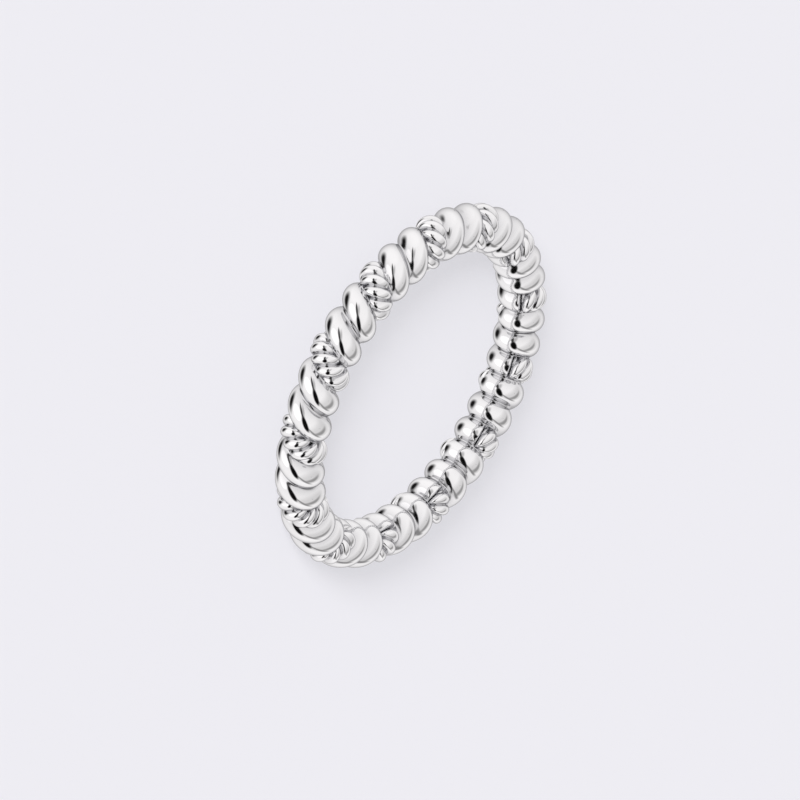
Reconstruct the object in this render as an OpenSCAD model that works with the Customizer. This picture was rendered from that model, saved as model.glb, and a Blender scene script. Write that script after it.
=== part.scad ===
// Stacking ring in silver: a slim band wound with leaning ridges. Every third ridge is a
// short cord of two twisted wires, which lies round the band in a seat of its own.
// The ring lies on its side: Z is the ring's axis, and the table is at Z = 0.

/* [Band] */
// Inner diameter, between the crests of the ridges
bore_d = 16.8; // [14:0.1:22]
// Thickness of the band, from crest to crest
band_d = 2.78; // [2.6:0.02:3.4]
// Depth of the grooves between the ridges
groove_depth = 0.42; // [0.2:0.01:0.5]
// Lean of the ridges, in degrees along the ring between underside and top
ridge_lean = 3.3; // [0:0.1:5]
// Radius of the core that the cords are laid round
core_r = 0.47; // [0.3:0.01:0.5]

/* [Pattern] */
// Groups round the ring, each of one twisted cord and two plain ridges
groups = 13; // [10:1:13]
// Place of the last cord on the ring, in degrees from the X axis
cord_angle = -1.5; // [-15:0.1:15]
// Room that the plain ridges take from the cords on the outside, as a share of a ridge
spread = 0.04; // [0:0.01:0.05]

/* [Twisted cords] */
// Width of a cord on the outside of the ring, measured along the ring
cord_w = 1.48; // [0.8:0.01:1.5]
// Height of a cord before its back is flattened
cord_h = 1.34; // [1:0.01:1.4]
// How far the cords stand proud of the crests of the ridges
cord_rise = 0.03; // [-0.1:0.01:0.1]
// Depth of the groove between the two wires, as a share of the cord's half width
wire_groove = 0.36; // [0.1:0.01:0.6]
// Degrees round the band from one wire's crossing to the next
wire_step = 40; // [35:1:60]
// Where the first crossing above the outermost line is, in degrees round the band
first_crossing = 5; // [0:1:60]
// Degrees round the band that a cord reaches to each side of the outermost line
cord_reach = 140; // [120:1:141]
// Gap between a cord and the core under it
seat_gap = 0.03; // [0.02:0.01:0.1]

/* [Hidden] */

crest_r = band_d / 2;
ring_r = bore_d / 2 + crest_r;
ridges = 3 * groups;
ridge_span = 360 / ridges;

// Stations across a ridge, from one groove (-1) over the crest (0) towards the next groove
ridge_x = [-1, -0.95, -0.5, 0, 0.5, 0.95];
// Share of a half circle that a ridge's outline takes before it is squeezed to the depth
// of the grooves
ridge_arc = 0.85;
// Sections round the band. It starts on the inside of the ring, where all ridges are whole,
// and between the two ends of the seats the sections are evenly spaced.
seat_end = 142;
wall_end = 146;
seat_steps = 16;
band_v = concat(
    [-180, -163, -wall_end],
    [for (j = [0 : seat_steps]) seat_end * (2 * j / seat_steps - 1)],
    [wall_end, 163]
);

// Sides and sections of a cord
cord_sides = 8;
cord_steps = 25;
// Stretch in which a cord tapers towards each end, in degrees, and the share that it loses
taper = 30;
taper_loss = 0.35;
cord_path_r = crest_r + cord_rise - cord_h / 2;
cord_back = core_r + seat_gap;

// A point of the ring: u is the angle along the ring, v the angle round the band from its
// outermost line over the top, and r the distance from the middle of the band.
function on_band(u, r, v) =
    let (d = ring_r + r * cos(v))
    [d * cos(u), d * sin(u), crest_r + r * sin(v)];

// Angle along the ring of a line that starts s ridges from the last cord. Each line leans,
// and once round the band it has moved on by one ridge.
function along(s, v) =
    let (squeeze = spread * sin(120 * s) * (1 + cos(v)) / 2)
    cord_angle + (s - squeeze) * ridge_span + v / ridges + ridge_lean / 2 * sin(v);

// How far a ridge's outline has sunk at x, before it is squeezed
function sink(x) = 1 - sqrt(1 - pow(ridge_arc * x, 2));

function ridge_r(x) = crest_r - groove_depth * sink(x) / sink(1);

// The first ridge of each group is cut away down to the core where its cord lies
function band_r(ridge, x, v) =
    ridge % 3 == 0 && abs(v) <= seat_end && abs(x) < 1 ? core_r : ridge_r(x);

module band() {
    rows = ridges * len(ridge_x);
    sections = len(band_v);
    points = [
        for (i = [0 : rows - 1], v = band_v)
            let (ridge = floor(i / len(ridge_x)), x = ridge_x[i % len(ridge_x)])
            on_band(along(ridge + x / 2, v), band_r(ridge, x, v), v)
    ];
    // Past the last section, a row goes on as the row one ridge further along
    at = function (i, j)
        j < sections
            ? i % rows * sections + j
            : (i + len(ridge_x)) % rows * sections;
    faces = [
        for (i = [0 : rows - 1], j = [0 : sections - 1])
            each [
                [at(i, j), at(i, j + 1), at(i + 1, j + 1)],
                [at(i, j), at(i + 1, j + 1), at(i + 1, j)]
            ]
    ];
    color("gainsboro") polyhedron(points, faces);
}

// One cord, swept round the band: its outline of two wires turns as it goes
module twisted_cord(k) {
    half_w = cord_w / 2 / (ring_r + cord_path_r) * 180 / PI;
    scale_at = function (v)
        1 - taper_loss * pow(max(0, 1 - (cord_reach - abs(v)) / taper), 2);
    section = function (v) [
        for (q = [0 : cord_sides - 1])
            let (
                side = 360 * q / cord_sides,
                turned = side - (v - first_crossing) * 180 / wire_step,
                size = scale_at(v) * (1 - wire_groove * (1 - abs(cos(side)))),
                u = along(3 * k, v) + size * half_w * sin(turned),
                r = max(cord_path_r + size * cord_h / 2 * cos(turned), cord_back)
            )
            on_band(u, r, v)
    ];
    cord_v = [for (j = [0 : cord_steps]) cord_reach * (2 * j / cord_steps - 1)];
    points = concat(
        [for (v = cord_v) each section(v)],
        [for (v = [-cord_reach, cord_reach]) on_band(along(3 * k, v), cord_path_r, v)]
    );
    at = function (j, q) j * cord_sides + q % cord_sides;
    end_points = len(cord_v) * cord_sides;
    sides = [
        for (j = [0 : cord_steps - 1], q = [0 : cord_sides - 1])
            each [
                [at(j, q), at(j + 1, q), at(j + 1, q + 1)],
                [at(j, q), at(j + 1, q + 1), at(j, q + 1)]
            ]
    ];
    ends = [
        for (q = [0 : cord_sides - 1])
            each [
                [end_points, at(0, q), at(0, q + 1)],
                [end_points + 1, at(cord_steps, q + 1), at(cord_steps, q)]
            ]
    ];
    color("silver") polyhedron(points, concat(sides, ends));
}

band();
for (k = [1 : groups])
    twisted_cord(k);
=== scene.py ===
"""Looks of a silver stacking ring: a slim band wound with fat leaning ridges, every third
one a short cord of two twisted wires. It lies on its side on a pale floor."""

from math import atan2, cos, pi, radians, sin, sqrt, tan, tau

import bmesh
import bpy
from bpy.props import (
    FloatProperty, FloatVectorProperty, IntProperty, PointerProperty,
)
from mathutils import Matrix, Vector


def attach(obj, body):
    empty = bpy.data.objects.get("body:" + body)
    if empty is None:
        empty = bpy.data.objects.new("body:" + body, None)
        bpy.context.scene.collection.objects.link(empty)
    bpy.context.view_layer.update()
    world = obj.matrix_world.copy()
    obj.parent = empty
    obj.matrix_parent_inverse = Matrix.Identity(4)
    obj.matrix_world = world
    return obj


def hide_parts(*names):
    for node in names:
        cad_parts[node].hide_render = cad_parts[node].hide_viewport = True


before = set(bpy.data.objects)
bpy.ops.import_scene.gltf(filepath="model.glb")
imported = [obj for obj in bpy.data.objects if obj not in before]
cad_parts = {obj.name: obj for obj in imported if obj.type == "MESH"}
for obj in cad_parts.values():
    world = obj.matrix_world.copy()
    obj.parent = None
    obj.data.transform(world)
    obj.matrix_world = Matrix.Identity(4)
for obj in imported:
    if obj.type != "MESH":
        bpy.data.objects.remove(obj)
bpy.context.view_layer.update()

bl_info = {
    "name": "Twisted Stacking Ring",
    "version": (1, 0, 0),
    "blender": (4, 5, 0),
    "location": "3D View > Sidebar > Ring",
    "description": "Makes a silver stacking ring with leaning ridges and twisted cords",
    "category": "Mesh",
}

MM = 0.001
# Angle between two faces from which the edge between them is drawn sharp
SHARP_EDGE = radians(50)


def linear(hex_colour):
    """The scene-linear colour of an sRGB hex value such as F4F2EE."""
    shares = [int(hex_colour[i:i + 2], 16) / 255 for i in (0, 2, 4)]
    return tuple(s / 12.92 if s <= 0.04045 else ((s + 0.055) / 1.055) ** 2.4 for s in shares)


def blend_share(low, high, value):
    """0 up to low, 1 from high on, and an even curve between them."""
    t = min(max((value - low) / (high - low), 0), 1)
    return t * t * (3 - 2 * t)


class BandSizes(bpy.types.PropertyGroup):
    bore: FloatProperty(
        name="Bore", description="Inner diameter, between the crests of the ridges",
        default=16.8 * MM, unit="LENGTH", precision=5)
    thickness: FloatProperty(
        name="Thickness", description="Thickness of the band, from crest to crest",
        default=2.78 * MM, unit="LENGTH", precision=5)
    groove_depth: FloatProperty(
        name="Groove depth", description="Depth of the grooves between the ridges",
        default=0.42 * MM, unit="LENGTH", precision=5)
    seat_depth: FloatProperty(
        name="Seat depth", description="How far the seat's floor lies below a groove",
        default=0.35 * MM, unit="LENGTH", precision=5)
    lean: FloatProperty(
        name="Lean", description="Angle along the ring between a ridge's underside and top",
        default=radians(3.3), subtype="ANGLE")
    groups: IntProperty(
        name="Groups", description="Groups of one cord and two plain ridges",
        default=13, min=10, max=13)
    cord_angle: FloatProperty(
        name="Cord angle", description="Place of the last cord on the ring",
        default=radians(-1.5), subtype="ANGLE")
    spread: FloatProperty(
        name="Spread", description="Share of a ridge that plain ridges take from the cords",
        default=0.04, min=0, max=1, subtype="FACTOR")


class CordSizes(bpy.types.PropertyGroup):
    width: FloatProperty(
        name="Width", description="Width across both wires of a cord",
        default=1.52 * MM, unit="LENGTH", precision=5)
    height: FloatProperty(
        name="Height", description="Height of both wires of a cord, one over the other",
        default=1.34 * MM, unit="LENGTH", precision=5)
    rise: FloatProperty(
        name="Rise", description="How far the cords stand proud of the ridges",
        default=0.02 * MM, unit="LENGTH", precision=5)
    groove: FloatProperty(
        name="Groove", description="Depth of the groove between the wires, as a share of "
        "half the width", default=0.37, min=0, max=1, subtype="FACTOR")
    step: FloatProperty(
        name="Step", description="Angle round the band from one wire's crossing to the next",
        default=radians(40), subtype="ANGLE")
    first_crossing: FloatProperty(
        name="First crossing", description="Angle of a crossing above the outermost line",
        default=radians(5), subtype="ANGLE")
    reach: FloatProperty(
        name="Reach", description="Angle that a cord reaches to each side round the band",
        default=radians(145), subtype="ANGLE")


class SilverFinish(bpy.types.PropertyGroup):
    colour: FloatVectorProperty(
        name="Silver", description="Colour of polished sterling silver",
        default=linear("F8F8F9"), subtype="COLOR")
    # Painted shade: the grey that the silver's colour turns to down in the grooves
    painted_groove_shade: FloatVectorProperty(
        name="Painted groove shade", description="Colour of the silver down in the grooves",
        default=linear("DADADC"), subtype="COLOR")
    rim: FloatVectorProperty(
        name="Rim", description="Tint of the silver where it is seen at a grazing angle",
        default=linear("B0B0B2"), subtype="COLOR")
    roughness: FloatProperty(
        name="Roughness", description="Roughness of the polished crests",
        default=0.03, min=0, max=1, subtype="FACTOR")


class StudioSettings(bpy.types.PropertyGroup):
    lens: FloatProperty(
        name="Lens", description="Focal length", default=450, unit="CAMERA")
    elevation: FloatProperty(
        name="Elevation", description="Camera's angle above the plane of the ring",
        default=radians(28.13), subtype="ANGLE")
    roll: FloatProperty(
        name="Roll", description="Camera's turn about its own axis",
        default=radians(118.87), subtype="ANGLE")
    distance: FloatProperty(
        name="Distance", description="From the camera to the middle of the ring",
        default=560 * MM, unit="LENGTH")
    shift_right: FloatProperty(
        name="Right", description="How far right of the picture's middle the ring is",
        default=0.67 * MM, unit="LENGTH", precision=5)
    shift_up: FloatProperty(
        name="Up", description="How far above the picture's middle the ring is",
        default=0.78 * MM, unit="LENGTH", precision=5)
    floor: FloatVectorProperty(
        name="Floor", description="Colour of the floor",
        default=linear("F1F0F6"), subtype="COLOR")
    key: FloatProperty(
        name="Key light", description="Strength of the soft lamp", default=1.7)


def rings_middle(band):
    """Radius of the line through the middle of the band, and half the band's thickness."""
    crest = band.thickness / 2
    return band.bore / 2 + crest, crest


def on_band(band, u, r, v):
    """A point of the ring: u is the angle along the ring, v the angle round the band from
    its outermost line over the top, and r the distance from the middle of the band."""
    middle, crest = rings_middle(band)
    d = middle + r * cos(v)
    return Vector((d * cos(u), d * sin(u), crest + r * sin(v)))


def along(band, s, v):
    """Angle along the ring of a line that starts s ridges from the last cord. Each line
    leans, and once round the band it has moved on by one ridge."""
    ridges = 3 * band.groups
    squeeze = band.spread * sin(tau * s / 3) * (1 + cos(v)) / 2
    return band.cord_angle + (s - squeeze) * tau / ridges + v / ridges + band.lean / 2 * sin(v)


def groove_share(x, arc, fillet):
    """How deep the outline of a round ridge lies at x: 0 on its crest and 1 in the groove at
    x = 1. It is an arc up to the fillet, and from there it is hollow, without a crease."""
    def round_to(t):
        return 1 - sqrt(1 - (arc * t) ** 2)

    slope = arc ** 2 * fillet / sqrt(1 - (arc * fillet) ** 2)
    rest = slope * (1 - fillet) / 2
    past = max(0, (abs(x) - fillet) / (1 - fillet))
    depth = round_to(min(abs(x), fillet)) + rest * (1 - (1 - past) ** 2)
    return depth / (round_to(fillet) + rest)


def finish_mesh(bm, name, merge):
    """Closes a bmesh, turns its faces outwards and makes it an object of the scene. Points
    that lie nearer to each other than merge become one."""
    bmesh.ops.remove_doubles(bm, verts=bm.verts, dist=merge)
    bmesh.ops.recalc_face_normals(bm, faces=bm.faces)
    mesh = bpy.data.meshes.new(name)
    bm.to_mesh(mesh)
    bm.free()
    mesh.shade_smooth()
    mesh.set_sharp_from_angle(angle=SHARP_EDGE)
    piece = bpy.data.objects.new(name, mesh)
    # The sky lights the floor evenly up to the ring, so that only the lamp's shadow shows
    piece.visible_diffuse = False
    bpy.context.collection.objects.link(piece)
    return piece


def add_node(tree, kind, settings=None, links=None):
    """Adds a node, sets its attributes and input values, and links its inputs."""
    node = tree.nodes.new(kind)
    for key, value in (settings or {}).items():
        if isinstance(key, str) and hasattr(node, key):
            setattr(node, key, value)
        else:
            node.inputs[key].default_value = value
    for key, output in (links or {}).items():
        tree.links.new(output, node.inputs[key])
    return node


# Sterling silver, cast and polished by hand. It mirrors nearly all light without tint. The
# polish is duller down in the grooves, where the buff doesn't reach, and the silver there is
# painted greyer as shade. The casting leaves faint waves that bend the reflections.
def sterling_silver_polished(finish):
    name = "sterling silver, cast and polished"
    if name in bpy.data.materials:
        return bpy.data.materials[name]
    silver = bpy.data.materials.new(name)
    silver.use_nodes = True
    tree = silver.node_tree
    tree.nodes.clear()
    place = add_node(tree, "ShaderNodeTexCoord").outputs["Object"]

    # Painted shade: the deeper a point lies in a groove, the greyer its colour
    hollow = add_node(tree, "ShaderNodeAttribute", {"attribute_name": "hollow"}).outputs["Fac"]
    tone = add_node(tree, "ShaderNodeMix", {
        "data_type": "RGBA", 6: (*finish.colour, 1), 7: (*finish.painted_groove_shade, 1),
    }, {0: hollow})

    # Waves of the casting, and marks of the buff, which are finer on a real ring and are drawn
    # 0.06 mm wide so that they show
    wave_length = 0.9 * MM
    wave_height = 0.003 * MM
    mark_width = 0.06 * MM
    mark_height = 0.0001 * MM
    waves = add_node(tree, "ShaderNodeTexNoise", {
        "Scale": 1 / wave_length, "Detail": 1.0, "Roughness": 0.4,
    }, {"Vector": place})
    marks = add_node(tree, "ShaderNodeTexNoise", {
        "Scale": 1 / mark_width, "Detail": 3.0, "Roughness": 0.6,
    }, {"Vector": place})
    wave_bump = add_node(tree, "ShaderNodeBump", {
        "Strength": 1.0, "Distance": wave_height,
    }, {"Height": waves.outputs["Fac"]})
    mark_bump = add_node(tree, "ShaderNodeBump", {
        "Strength": 1.0, "Distance": mark_height,
    }, {"Height": marks.outputs["Fac"], "Normal": wave_bump.outputs["Normal"]})

    # Roughness that the grooves have on top of the crests', and that the marks add to both
    groove_dullness = 0.08
    mark_dullness = 0.03
    dullness = add_node(tree, "ShaderNodeMapRange", {
        "To Min": finish.roughness, "To Max": finish.roughness + groove_dullness,
    }, {"Value": hollow})
    mottle = add_node(tree, "ShaderNodeMath", {"operation": "MULTIPLY_ADD", 1: mark_dullness},
                      {0: marks.outputs["Fac"], 2: dullness.outputs["Result"]})

    shader = add_node(tree, "ShaderNodeBsdfPrincipled", {
        "Metallic": 1.0, "Specular Tint": (*finish.rim, 1),
    }, {
        "Base Color": tone.outputs[2], "Roughness": mottle.outputs[0],
        "Normal": mark_bump.outputs["Normal"],
    })
    add_node(tree, "ShaderNodeOutputMaterial", {}, {"Surface": shader.outputs["BSDF"]})
    return silver


# White acrylic sheet with a matt face. It scatters the light, so the floor is plain and pale,
# and takes the ring's soft shadow without mirroring the ring.
def acrylic_sheet_matt(colour):
    sheet = bpy.data.materials.new("matt acrylic sheet, white")
    sheet.use_nodes = True
    shader = sheet.node_tree.nodes["Principled BSDF"]
    shader.inputs["Base Color"].default_value = (*colour, 1)
    shader.inputs["Roughness"].default_value = 0.6
    shader.inputs["Specular IOR Level"].default_value = 0.2
    return sheet


class RING_OT_band(bpy.types.Operator):
    """Make the cast band, with its plain ridges and the seats of the cords"""
    bl_idname = "ring.band"
    bl_label = "Cast Band"

    # Share of a half circle that a ridge's outline takes before it is squeezed to its depth,
    # and the share of a ridge's half width where the groove's fillet starts
    ridge_arc = 0.97
    fillet = 0.86
    rows_per_ridge = 20
    sections = 120
    # Where the seats end round the band, to each side of its outermost line, and where the
    # ridges past them are whole again
    seat_end = radians(140)
    wall_end = radians(149)
    merge = 0.001 * MM

    def radius(self, band, ridge, x, v):
        """Distance of a point from the middle of the band, and how deep in a groove it is,
        from 0 to 1. x goes from -1 in one groove over 0 on the crest to 1 in the next."""
        crest = rings_middle(band)[1]
        hollow = groove_share(x, self.ridge_arc, self.fillet)
        ridge_r = crest - band.groove_depth * hollow
        if ridge % 3:
            return ridge_r, hollow
        # A seat has a flat floor, and its sides rise to the grooves beside it
        seat_r = crest - band.groove_depth - band.seat_depth * (1 - x ** 4)
        whole = blend_share(self.seat_end, self.wall_end, abs(v))
        return seat_r + (ridge_r - seat_r) * whole, 1 - (1 - hollow) * whole

    def execute(self, context):
        band = context.scene.ring_band
        middle, crest = rings_middle(band)
        rows = 3 * band.groups * self.rows_per_ridge

        bm = bmesh.new()
        round_band = bm.verts.layers.float.new("round_band")
        # How deep each point lies in a groove, which dulls the polish and paints shade there
        hollow_at = bm.verts.layers.float.new("hollow")
        outline = []
        for j in range(self.sections + 1):
            v = tau * j / self.sections - pi
            point = bm.verts.new((middle + crest * cos(v), 0, crest + crest * sin(v)))
            point[round_band] = v
            outline.append(point)
        edges = [bm.edges.new(pair) for pair in zip(outline, outline[1:])]
        bmesh.ops.spin(bm, geom=outline + edges, cent=(0, 0, 0), axis=(0, 0, 1), angle=tau,
                       steps=rows, use_merge=True, use_duplicate=False)

        for point in bm.verts:
            row = round(atan2(point.co.y, point.co.x) / tau * rows) % rows
            ridge, step = divmod(row, self.rows_per_ridge)
            x = sin(pi * (step / self.rows_per_ridge - 0.5))
            v = point[round_band]
            r, point[hollow_at] = self.radius(band, ridge, x, v)
            point.co = on_band(band, along(band, ridge + x / 2, v), r, v)
            point.index = row * len(outline) + round((v + pi) / tau * self.sections)

        def face_order(face):
            corners = [point.index for point in face.verts]
            return min(corners) * len(bm.verts) + max(corners)

        # Spin leaves the points and faces in an order that changes from run to run, so they
        # are put in order: row by row, and round the band in each row
        bm.verts.sort()
        bm.faces.sort(key=face_order)

        piece = finish_mesh(bm, "cast_band", self.merge)
        piece.data.materials.append(sterling_silver_polished(context.scene.ring_silver))
        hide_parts("band")
        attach(piece, "root")
        return {"FINISHED"}


class RING_OT_cords(bpy.types.Operator):
    """Make the twisted cords of two wires, one in each seat of the band"""
    bl_idname = "ring.cords"
    bl_label = "Twisted Cords"

    sides = 64
    sections = 112
    # Stretch in which a cord tapers off towards each end
    taper = radians(14)
    # How much closer the steps round a cord lie near the grooves between its wires
    crowding = 0.3
    # A wire's outline, by the same two shares as a ridge of the band
    wire_arc = 0.94
    fillet = 0.88
    # Small angle to both sides of a point, which gives the cord's direction there
    nudge = 0.001
    merge = 0.0005 * MM

    def cord(self, band, cords, k):
        """One cord, bent from a flat grid: across it goes round the cord, and along it
        goes round the band."""
        crest = rings_middle(band)[1]
        path_r = crest + cords.rise - cords.height / 2

        def path(v):
            return on_band(band, along(band, 3 * k, v), path_r, v)

        bm = bmesh.new()
        # How deep each point lies between the wires, which dulls the polish and paints shade
        # there
        hollow_at = bm.verts.layers.float.new("hollow")
        bmesh.ops.create_grid(bm, x_segments=self.sides, y_segments=self.sections, size=1)
        for point in bm.verts:
            side = pi * point.co.x + self.crowding * sin(tau * point.co.x)
            v = cords.reach * point.co.y
            middle = path(v)
            ahead = (path(v + self.nudge) - path(v - self.nudge)).normalized()
            out = middle - on_band(band, along(band, 3 * k, v), 0, v)
            out = (out - ahead * out.dot(ahead)).normalized()
            across = ahead.cross(out)
            # Share of the way from the top of a wire down to the groove between the wires
            down = 1 - abs((side / pi + 1) % 1 * 2 - 1)
            hollow = groove_share(down, self.wire_arc, self.fillet)
            past = max(0, 1 - (cords.reach - abs(v)) / self.taper)
            size = (1 - cords.groove * hollow) * sqrt(max(1 - past * past, 0)) / 2
            turned = side - (v - cords.first_crossing) * pi / cords.step
            point.co = (middle + size * cords.height * cos(turned) * out
                        + size * cords.width * sin(turned) * across)
            point[hollow_at] = hollow
        return finish_mesh(bm, f"twisted_wires_{k}", self.merge)

    def execute(self, context):
        scene = context.scene
        for k in range(1, scene.ring_band.groups + 1):
            piece = self.cord(scene.ring_band, scene.ring_cords, k)
            piece.data.materials.append(sterling_silver_polished(scene.ring_silver))
            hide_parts(f"twisted_cord_{k}")
            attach(piece, "root")
        return {"FINISHED"}


class RING_OT_studio(bpy.types.Operator):
    """Make the floor, the white tent with its window and cards, the key light and the camera"""
    bl_idname = "ring.studio"
    bl_label = "Studio"

    # Cards of the tent, each over those before it. Azimuth and height place a card's middle.
    # Azimuth is 0 on the camera's side of the ring, and grows to the right. The first five
    # columns are in degrees. Softness is how far the edge fades to both sides, as a share of
    # the way from the card's middle to its edge.
    # Azimuth, height, turn, half width, half height, softness, brightness
    cards = (
        (160, 68, 0, 58, 30, 0.7, 0.7),      # shade of the tent's top, behind
        (140, 22, 0, 55, 20, 0.3, 1.0),      # white sheet behind, low
        (160, 60, 0, 36, 9, 0.6, 0.32),      # rail of the tent, behind
        (100, 44, 0, 34, 6, 0.6, 0.28),      # its part at the right
        (-62, -22, 0, 42, 36, 0.4, 1.0),     # light sheet at the left
        (-10, 18, 8, 24, 8, 0.7, 0.5),       # grey shade beside the black card
        (44, 25, 4, 36, 15, 0.3, 0.003),     # black card above the window
        (-6, 7, 24, 27, 7, 0.35, 0.05),      # its arm to the left
        (22, -20, 0, 28, 27, 0.15, 1.2),     # white window
        (25, -77, 0, 26, 19, 0.6, 0.01),     # black card below the ring
    )
    # Least amount by which a direction counts as ahead of a card, because the distance from
    # the card's middle is divided by it, also beside and behind the card
    least_ahead = 0.05
    # Brightness of the tent's plain wall, its colour, and brightness of the even sky
    plain_wall = 0.95
    tent_cloth = linear("FFFDFD")
    even_sky = 0.81
    # The key light's place, and the angle that its soft disc takes
    key_azimuth = radians(-8)
    key_height = radians(18)
    key_size = radians(16)
    # Metres from the ring to the edges of the floor
    floor_reach = 3

    def floor(self, settings):
        """A pale floor, in whose place the silver mirrors the lower part of the tent."""
        bm = bmesh.new()
        bmesh.ops.create_grid(bm, x_segments=1, y_segments=1, size=self.floor_reach)
        mesh = bpy.data.meshes.new("floor")
        bm.to_mesh(mesh)
        bm.free()
        floor = bpy.data.objects.new("floor", mesh)
        bpy.context.collection.objects.link(floor)
        floor.visible_glossy = False
        floor.data.materials.append(acrylic_sheet_matt(settings.floor))

    def card(self, tree, way, row, behind):
        """Lays one card of the tent over what is behind it."""
        azimuth, height, turn, half_width, half_height = (radians(angle) for angle in row[:5])
        softness, brightness = row[5:]
        face = Matrix.Rotation(azimuth, 3, "Z") @ Matrix.Rotation(-height, 3, "X")
        face = face @ Matrix.Rotation(-turn, 3, "Y")
        ahead = add_node(tree, "ShaderNodeVectorMath", {
            "operation": "DOT_PRODUCT", 1: face @ Vector((0, -1, 0)),
        }, {0: way})
        ahead = add_node(tree, "ShaderNodeMath", {"operation": "MAXIMUM", 1: self.least_ahead},
                         {0: ahead.outputs["Value"]})
        across = add_node(tree, "ShaderNodeVectorMath", {
            "operation": "DOT_PRODUCT", 1: face @ Vector((1, 0, 0)) / tan(half_width),
        }, {0: way})
        upwards = add_node(tree, "ShaderNodeVectorMath", {
            "operation": "DOT_PRODUCT", 1: face @ Vector((0, 0, 1)) / tan(half_height),
        }, {0: way})
        place = add_node(tree, "ShaderNodeCombineXYZ", {}, {
            "X": across.outputs["Value"], "Y": upwards.outputs["Value"],
        })
        off = add_node(tree, "ShaderNodeVectorMath", {"operation": "LENGTH"},
                       {0: place.outputs[0]})
        off = add_node(tree, "ShaderNodeMath", {"operation": "DIVIDE"},
                       {0: off.outputs["Value"], 1: ahead.outputs[0]})
        share = add_node(tree, "ShaderNodeMapRange", {
            "interpolation_type": "SMOOTHSTEP", "From Min": 1 - softness,
            "From Max": 1 + softness, "To Min": 1.0, "To Max": 0.0,
        }, {"Value": off.outputs[0]})
        return add_node(tree, "ShaderNodeMix", {"data_type": "FLOAT", 3: brightness}, {
            0: share.outputs["Result"], 2: behind,
        }).outputs[0]

    def tent(self, scene):
        """A white tent, with its window and cards where the silver mirrors them. They light
        nothing else: the floor is lit by an even sky."""
        world = bpy.data.worlds.new("light tent")
        scene.world = world
        world.use_nodes = True
        tree = world.node_tree
        tree.nodes.clear()
        way = add_node(tree, "ShaderNodeTexCoord").outputs["Generated"]
        wall = add_node(tree, "ShaderNodeValue")
        wall.outputs[0].default_value = self.plain_wall
        light = wall.outputs[0]
        for row in self.cards:
            light = self.card(tree, way, row, light)
        mirrored = add_node(tree, "ShaderNodeBackground", {"Color": (*self.tent_cloth, 1)},
                            {"Strength": light})
        even = add_node(tree, "ShaderNodeBackground", {
            "Color": (1, 1, 1, 1), "Strength": self.even_sky,
        })
        # A ray that the silver mirrors meets the tent, unless the floor has scattered it
        path = add_node(tree, "ShaderNodeLightPath").outputs
        matt = add_node(tree, "ShaderNodeMath", {"operation": "MINIMUM", 1: 1.0},
                        {0: path["Diffuse Depth"]})
        seen = add_node(tree, "ShaderNodeMath", {"operation": "SUBTRACT", "use_clamp": True},
                        {0: path["Is Glossy Ray"], 1: matt.outputs[0]})
        sky = add_node(tree, "ShaderNodeMixShader", {}, {
            0: seen.outputs[0], 1: even.outputs[0], 2: mirrored.outputs[0],
        })
        add_node(tree, "ShaderNodeOutputWorld", {}, {"Surface": sky.outputs[0]})

    def key_light(self, settings):
        """A large soft lamp on the camera's side, which the silver doesn't mirror."""
        data = bpy.data.lights.new("key light", "SUN")
        data.energy = settings.key
        data.angle = self.key_size
        lamp = bpy.data.objects.new("key light", data)
        azimuth, height = self.key_azimuth, self.key_height
        away = Vector((sin(azimuth) * cos(height), -cos(azimuth) * cos(height), sin(height)))
        lamp.matrix_world = away.to_track_quat("Z", "Y").to_matrix().to_4x4()
        lamp.visible_glossy = False
        bpy.context.collection.objects.link(lamp)

    def camera(self, scene, band, settings):
        """A long lens that looks down on the ring's near side, turned about its own axis."""
        crest = rings_middle(band)[1]
        away = Vector((0, -cos(settings.elevation), sin(settings.elevation)))
        right = Vector((1, 0, 0))
        up = away.cross(right)
        turn = Matrix.Rotation(settings.roll, 3, away)
        right, up = turn @ right, turn @ up
        place = (Vector((0, 0, crest)) + settings.distance * away
                 - settings.shift_right * right - settings.shift_up * up)
        data = bpy.data.cameras.new("camera")
        data.lens = settings.lens
        data.sensor_width = 36
        data.clip_start = 10 * MM
        camera = bpy.data.objects.new("camera", data)
        axes = Matrix((right, up, away)).transposed().to_4x4()
        camera.matrix_world = Matrix.Translation(place) @ axes
        bpy.context.collection.objects.link(camera)
        scene.camera = camera

    def execute(self, context):
        scene = context.scene
        settings = scene.ring_studio
        self.floor(settings)
        self.tent(scene)
        self.key_light(settings)
        self.camera(scene, scene.ring_band, settings)
        scene.view_settings.view_transform = "Standard"
        return {"FINISHED"}


class RING_PT_panel(bpy.types.Panel):
    """Lists the steps that make the ring"""
    bl_idname = "RING_PT_panel"
    bl_label = "Stacking Ring"
    bl_space_type = "VIEW_3D"
    bl_region_type = "UI"
    bl_category = "Ring"

    def draw(self, context):
        for group in (context.scene.ring_band, context.scene.ring_cords,
                      context.scene.ring_silver, context.scene.ring_studio):
            box = self.layout.box()
            for name in group.__annotations__:
                box.prop(group, name)
        for step in STEPS:
            self.layout.operator(step.bl_idname)


GROUPS = {
    "ring_band": BandSizes,
    "ring_cords": CordSizes,
    "ring_silver": SilverFinish,
    "ring_studio": StudioSettings,
}
STEPS = (RING_OT_studio, RING_OT_band, RING_OT_cords)


def register():
    for group in (*GROUPS.values(), *STEPS, RING_PT_panel):
        bpy.utils.register_class(group)
    for name, group in GROUPS.items():
        setattr(bpy.types.Scene, name, PointerProperty(type=group))


def unregister():
    for name in GROUPS:
        delattr(bpy.types.Scene, name)
    for group in (RING_PT_panel, *STEPS, *GROUPS.values()):
        bpy.utils.unregister_class(group)


def main():
    register()
    bpy.ops.ring.studio()
    bpy.ops.ring.band()
    bpy.ops.ring.cords()


if __name__ == "__main__":
    main()
